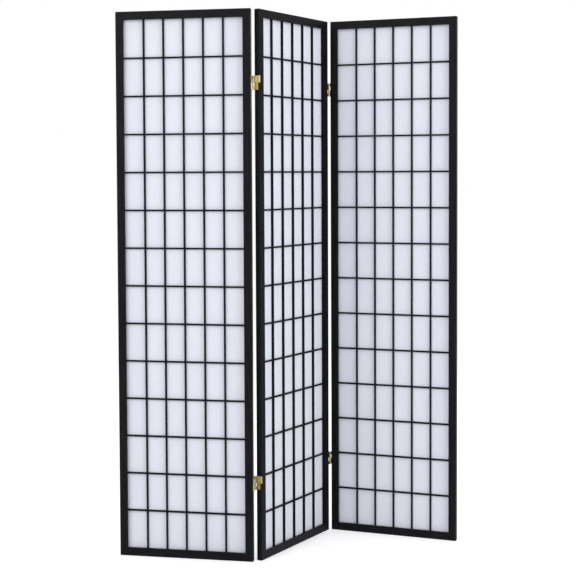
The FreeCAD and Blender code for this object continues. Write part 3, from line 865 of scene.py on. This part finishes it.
def make_leaf():
    """The leaf for a panel edge on its right: front knuckle at the top, back one at the foot."""
    bm = bmesh.new()
    bmesh.ops.create_cube(bm, size=1)
    bmesh.ops.scale(bm, verts=bm.verts, vec=(SHEET, SPREAD - 2 * LEAF_EDGE, HINGE_HEIGHT))
    bmesh.ops.translate(
        bm, verts=bm.verts, vec=(LEAF_FACE + SHEET / 2, SPREAD / 2, HINGE_HEIGHT / 2))
    cut_across(bm, KNUCKLE)
    cut_across(bm, 3 * ZONE)
    for edge_y, low, pivot_y, degrees in (
            (LEAF_EDGE, 3 * ZONE, 0, -ROLL_TURN), (SPREAD - LEAF_EDGE, 0, SPREAD, ROLL_TURN)):
        high = low + KNUCKLE
        end = next(
            face for face in bm.faces
            if all(abs(v.co.y - edge_y) < CLOSE and low - CLOSE < v.co.z < high + CLOSE
                   for v in face.verts))
        arm, = pull(bm, [end], (BORE - LEAF_FACE, pivot_y - edge_y, 0))
        roll(bm, arm, pivot_y, degrees)
    sharp = [
        edge for edge in bm.edges
        if len(edge.link_faces) == 2 and edge.calc_face_angle(0) > SHARP_TURN]
    ease_edges(bm, sharp, SHEET_EASING, segments=1)
    return bm


# The leaf across the gap is the same one after half a turn, and the lower link is the upper one
# turned over.
OTHER_LEAF = Matrix.Translation((0, SPREAD, 0)) @ Matrix.Rotation(math.pi, 4, "Z")
UPSIDE_DOWN = (
    Matrix.Translation((0, SPREAD, HINGE_HEIGHT)) @ Matrix.Rotation(math.pi, 4, "X"))
one_leaf = make_leaf()
print("a leaf has %d faces" % len(one_leaf.faces))

# %% [markdown]
# A link is a plate between two barrels. Its tongue reaches into the next zone between the
# leaves' knuckles and stops short of them. A barrel is a rectangle spun once round the pivot.
# Welding makes one closed skin of them.

# %% Bend a link, turn a pin
TONGUE_GAP = 0.5 * MM                          # from the tongue to the leaves' knuckles
WELD_DEPTH = 0.6 * MM                          # the plate reaches half through a barrel's wall
PIN_DOME = 0.5 * MM
ROUND_STEPS = 32


def make_barrel(bm, pivot_y, low):
    """A ring round an upright pivot: a rectangle of edges spun through a full turn."""
    corners = [
        bm.verts.new((x, pivot_y, z)) for x, z in (
            (BORE, low), (ROLL, low), (ROLL, low + KNUCKLE), (BORE, low + KNUCKLE))]
    edges = [bm.edges.new(pair) for pair in zip(corners, corners[1:] + corners[:1])]
    bmesh.ops.spin(
        bm, geom=corners + edges, cent=(0, pivot_y, 0), axis=(0, 0, 1), dvec=(0, 0, 0),
        angle=2 * math.pi, steps=ROUND_STEPS, use_merge=True, use_duplicate=False)


def make_link():
    """The upper link: its barrels fill the second zone from the top, below two knuckles."""
    foot = 2 * ZONE
    plate_end, tongue_end = ROLL - WELD_DEPTH, ROLL + TONGUE_GAP
    plate = strip(
        (-SHEET / 2, plate_end, foot), (SHEET / 2, SPREAD - plate_end, foot + KNUCKLE),
        SHEET_EASING)
    tongue = strip(
        (-SHEET / 2, tongue_end, foot + KNUCKLE / 2),
        (SHEET / 2, SPREAD - tongue_end, foot + ZONE + KNUCKLE), SHEET_EASING)
    barrels = bmesh.new()
    for pivot_y in (0, SPREAD):
        make_barrel(barrels, pivot_y, foot)
    return combine(combine(plate, tongue, "UNION"), barrels, "UNION")


def make_pin(length):
    """A pin that stands on z = 0, its ends slightly domed by the riveting hammer."""
    bm = bmesh.new()
    bmesh.ops.create_cone(
        bm, cap_ends=True, cap_tris=False, segments=ROUND_STEPS, radius1=PIN_RADIUS,
        radius2=PIN_RADIUS, depth=length)
    bmesh.ops.translate(bm, verts=bm.verts, vec=(0, 0, length / 2))
    rims = [edge for edge in bm.edges if abs(edge.verts[0].co.z - edge.verts[1].co.z) < CLOSE]
    ease_edges(bm, rims, PIN_DOME, segments=4)
    return bm


one_link = make_link()
print("a link has %d faces" % len(one_link.faces))

# %% [markdown]
# The screws are turned from brass rod: a round head, a shank and a point, so half the outline
# is spun round the axis. The cross in the head is cut with a Boolean, whose cutter is two bars.

# %% Turn a screw
HEAD_RADIUS, HEAD_HEIGHT = 2.9 * MM, 1.1 * MM
SHANK_RADIUS, SCREW_LENGTH = 1.6 * MM, 15 * MM
SCREW_STEPS = 24
CROSS_WIDTH, CROSS_SPAN, CROSS_EASING = 0.6 * MM, 3.2 * MM, 0.05 * MM
UNDER_CROSS = 0.35 * HEAD_HEIGHT           # what the cross leaves of the head


def make_screw():
    """A screw along z that points up: the head's underside lies at z = 0, its crown below."""
    bm = bmesh.new()
    half_outline = (
        (0, -HEAD_HEIGHT), (0.38 * HEAD_RADIUS, -0.95 * HEAD_HEIGHT),
        (0.69 * HEAD_RADIUS, -0.84 * HEAD_HEIGHT), (0.90 * HEAD_RADIUS, -0.52 * HEAD_HEIGHT),
        (HEAD_RADIUS, -0.12 * HEAD_HEIGHT), (HEAD_RADIUS, 0), (SHANK_RADIUS, 0),
        (SHANK_RADIUS, 0.73 * SCREW_LENGTH), (0.56 * SHANK_RADIUS, 0.91 * SCREW_LENGTH),
        (0, SCREW_LENGTH))
    points = [bm.verts.new((x, 0, z)) for x, z in half_outline]
    edges = [bm.edges.new(pair) for pair in zip(points, points[1:])]
    bmesh.ops.spin(
        bm, geom=points + edges, cent=(0, 0, 0), axis=(0, 0, 1), dvec=(0, 0, 0),
        angle=2 * math.pi, steps=SCREW_STEPS, use_merge=True, use_duplicate=False)
    bmesh.ops.remove_doubles(bm, verts=bm.verts, dist=CLOSE)     # the crown and the tip
    cross = joined([
        strip((-x / 2, -y / 2, -2 * HEAD_HEIGHT), (x / 2, y / 2, -UNDER_CROSS), CROSS_EASING)
        for x, y in ((CROSS_WIDTH, CROSS_SPAN), (CROSS_SPAN, CROSS_WIDTH))])
    return combine(bm, cross, "DIFFERENCE")


one_screw = make_screw()
SCREW_AXIS = Matrix.Rotation(math.pi / 2, 4, "Y")     # lays a screw along x, into the wood
SCREWS_PER_LEAF, SCREW_PITCH = 3, 14 * MM
FIRST_TWIST, TWIST = 0.6, 1.1                         # radians, so that the crosses differ
print("a screw has %d faces" % len(one_screw.faces))

# %% [markdown]
# ## Fitting the hinges
# Both hinges of a fold carry the same pieces, so one helper places a list of them at both
# heights. The outer leaves belong to the outer panel, with full pins. The inner leaves belong
# to the middle panel, and their lower pins are short stubs that leave the lower link free.

# %% Fit all four hinges
LOWER_HINGE_RISE, UPPER_HINGE_DROP = 255 * MM, 236 * MM    # to the middle of a hinge
FULL_PIN, STUB_PIN = ZONE + KNUCKLE, KNUCKLE
HINGE_FEET = (
    LOWER_HINGE_RISE - HINGE_HEIGHT / 2,
    PANEL_HEIGHT - UPPER_HINGE_DROP - HINGE_HEIGHT / 2)
LOWEST_SCREW = (HINGE_HEIGHT - (SCREWS_PER_LEAF - 1) * SCREW_PITCH) / 2


def at_both_hinges(panel_place, edge, hand, make_pieces):
    """Copies of a hinge's pieces at the lower and the upper hinge on one edge of a panel."""
    copies = []
    for foot in HINGE_FEET:
        place = panel_place @ Matrix.Translation((edge, FRONT_PIVOT, foot)) @ hand
        copies += [carried(bm, place) for bm in make_pieces()]
    return joined(copies)


def leaf_pieces():
    return [one_leaf.copy()]


def link_pieces():
    return [one_link.copy()]


def pin_pieces(foot_length):
    """A full pin at the front pivot's top, and one at the back pivot's foot."""
    top, foot = make_pin(FULL_PIN), make_pin(foot_length)
    bmesh.ops.translate(top, verts=top.verts, vec=(0, 0, 2 * ZONE))
    bmesh.ops.translate(foot, verts=foot.verts, vec=(0, SPREAD, 0))
    return [top, foot]


def screw_pieces():
    """A row of screws up the middle of a leaf."""
    screws = []
    for number in range(SCREWS_PER_LEAF):
        twist = Matrix.Rotation(FIRST_TWIST + TWIST * number, 4, "Z")
        level = LOWEST_SCREW + SCREW_PITCH * number
        place = Matrix.Translation((LEAF_FACE, SPREAD / 2, level)) @ SCREW_AXIS @ twist
        screws.append(carried(one_screw.copy(), place))
    return screws


for fold, outer_edge, outer_hand, inner_edge, inner_hand in (
        ("left", BEYOND, OTHER_LEAF, BEFORE, Matrix()),
        ("right", BEFORE, Matrix(), BEYOND, OTHER_LEAF)):
    outer_place = PLACES[fold]
    for side, place, edge, hand, body, foot_pin in (
            ("outer", outer_place, outer_edge, outer_hand, fold + "_panel", FULL_PIN),
            ("inner", middle_place, inner_edge, inner_hand, "middle_panel", STUB_PIN)):
        name = "%s_hinge_%s" % (fold, side)
        set_in_place(
            at_both_hinges(place, edge, hand, leaf_pieces),
            name + "_leaves", body, HINGE_BRASS)
        set_in_place(
            at_both_hinges(place, edge, hand, lambda length=foot_pin: pin_pieces(length)),
            name + "_pins", body, HINGE_BRASS)
        set_in_place(
            at_both_hinges(place, edge, hand, screw_pieces),
            name + "_screws", body, SCREW_BRASS)
    set_in_place(
        at_both_hinges(middle_place, inner_edge, Matrix(), link_pieces),
        fold + "_hinge_upper_links", fold + "_upper_links", HINGE_BRASS)
    set_in_place(
        at_both_hinges(outer_place, outer_edge, UPSIDE_DOWN, link_pieces),
        fold + "_hinge_lower_links", fold + "_lower_links", HINGE_BRASS)
print("hinges fitted")
